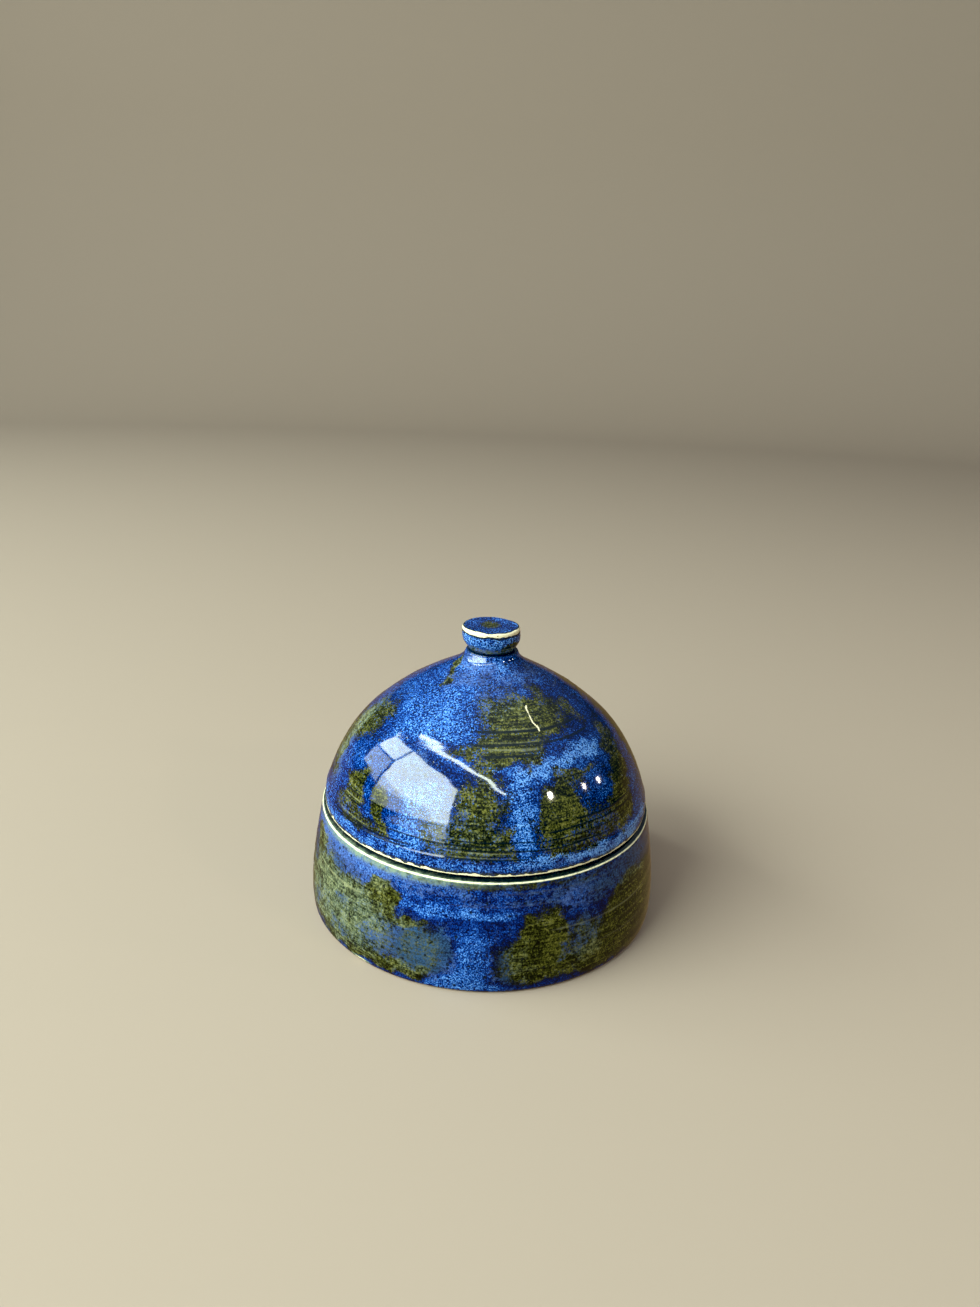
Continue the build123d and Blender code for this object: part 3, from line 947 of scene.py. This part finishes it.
def area_light(name, place, facing, width, height, radiance, colour, shape="RECTANGLE"):
    """An area light of even brightness, unseen by the camera. `facing` is where it shines."""
    data = bpy.data.lights.new(name, "AREA")
    data.shape, data.size, data.size_y = shape, width, height
    data.energy, data.color = math.pi * width * height * radiance, colour
    light = bpy.data.objects.new(name, data)
    light.location = place
    light.rotation_mode = "QUATERNION"
    light.rotation_quaternion = Vector(facing).to_track_quat("-Z", "Y")
    light.visible_camera = False
    bpy.context.scene.collection.objects.link(light)
    return light


def heading(azimuth, elevation=0.0):
    """A direction: azimuth 0 in front of the object, + to its right, in degrees."""
    a, e = math.radians(azimuth), math.radians(elevation)
    return Vector((math.sin(a) * math.cos(e), -math.cos(a) * math.cos(e), math.sin(e)))


# A tall soft window on the left, in panes that dim towards the sill, given as (left, right,
# bottom, top, radiance), seen from the object, in parts of its distance.
LIGHT_DISTANCE, WINDOW_AZIMUTH = 1.2, -64
PANES = [
    (-0.44, 0.79, 0.40, 1.13, 13.5),
    (-0.44, 0.79, 0.31, 0.40, 8.5),
    (-0.44, 0.79, 0.22, 0.31, 4.5),
    (-0.44, 0.79, 0.12, 0.22, 2.0),
    (-1.15, -0.49, 0.68, 1.13, 12.0),
    (-1.15, -0.49, 0.30, 0.63, 4.0),
]
to_window, along_window = heading(WINDOW_AZIMUTH), heading(WINDOW_AZIMUTH + 90)
for i, (left, right, bottom, top, radiance) in enumerate(PANES):
    across, up = (left + right) / 2, (bottom + top) / 2
    place = MIDDLE + LIGHT_DISTANCE * (to_window + across * along_window + Vector((0, 0, up)))
    area_light(f"window_{i}", place, -to_window, LIGHT_DISTANCE * (right - left),
               LIGHT_DISTANCE * (top - bottom), radiance, COOL)

# A long thin ceiling light that runs from the left towards the front right, and faces down.
TUBE_ENDS, TUBE_TURN = ((-0.85, 0.13, 1), (0.35, -1.14, 1)), 43.3
TUBE_WIDTH, TUBE_RADIANCE = 0.065, 20
start, end = (MIDDLE + LIGHT_DISTANCE * Vector(p) for p in TUBE_ENDS)
tube = area_light("tube", (start + end) / 2, (0, 0, -1), TUBE_WIDTH, (end - start).length,
                  TUBE_RADIANCE, COOL)
tube.rotation_mode = "XYZ"
tube.rotation_euler.z = math.radians(TUBE_TURN)

# Three round lamps on the right: (azimuth, elevation, diameter).
BULBS, BULB_RADIANCE = ((52.9, 31.1, 0.065), (82.6, 22.2, 0.045), (97.0, 17.2, 0.045)), 90
for i, (azimuth, elevation, size) in enumerate(BULBS):
    away = heading(azimuth, elevation)
    place = MIDDLE + LIGHT_DISTANCE * away
    area_light(f"bulb_{i}", place, -away, size, size, BULB_RADIANCE, WARM, "DISK")

# The sky's light: brown from below, as from a table, dim at the horizon and bright overhead.
# Each stop's place is 0 straight down, 0.5 at the horizon and 1 straight up.
SKY = [
    (0.00, (0.18, 0.122, 0.058)), (0.49, (0.22, 0.150, 0.070)), (0.55, (0.045, 0.047, 0.052)),
    (0.78, (0.200, 0.210, 0.230)), (1.00, (0.500, 0.530, 0.570)),
]
world = bpy.data.worlds.new("studio")
bpy.context.scene.world = world
world.use_nodes = True
nodes = world.node_tree.nodes
separate = nodes.new("ShaderNodeSeparateXYZ")
height = nodes.new("ShaderNodeMapRange")
height.inputs["From Min"].default_value = -1
sky = nodes.new("ShaderNodeValToRGB")
points = sky.color_ramp.elements
while len(points) < len(SKY):
    points.new(0.5)
for point, (position, colour) in zip(points, SKY):
    point.position, point.color = position, (*colour, 1)
link = world.node_tree.links.new
link(nodes.new("ShaderNodeTexCoord").outputs["Generated"], separate.inputs[0])
link(separate.outputs["Z"], height.inputs["Value"])
link(height.outputs[0], sky.inputs["Fac"])
link(sky.outputs["Color"], nodes["Background"].inputs["Color"])

# The camera looks down at the object from close by, and is held a little askew.
SENSOR, FOCAL_LENGTH = 36, 27.05  # millimetres
CAMERA_PLACE = (0, -0.3551, 0.2289)
PITCH, YAW, ROLL = math.radians(19.5), math.radians(-0.12), math.radians(2.57)
camera_data = bpy.data.cameras.new("camera")
camera_data.sensor_width = SENSOR
camera_data.lens = FOCAL_LENGTH
camera = bpy.data.objects.new("camera", camera_data)
turn = (Matrix.Rotation(-YAW, 3, "Z") @ Matrix.Rotation(math.pi / 2 - PITCH, 3, "X")
        @ Matrix.Rotation(ROLL, 3, "Z"))
camera.matrix_world = Matrix.Translation(CAMERA_PLACE) @ turn.to_4x4()
bpy.context.scene.collection.objects.link(camera)
bpy.context.scene.camera = camera
view = bpy.context.scene.view_settings
view.view_transform = "Standard"
# a slightly raised black level deepens the shadows
view.use_curve_mapping = True
view.curve_mapping.black_level = (0.008, 0.006, 0.003)
view.curve_mapping.update()
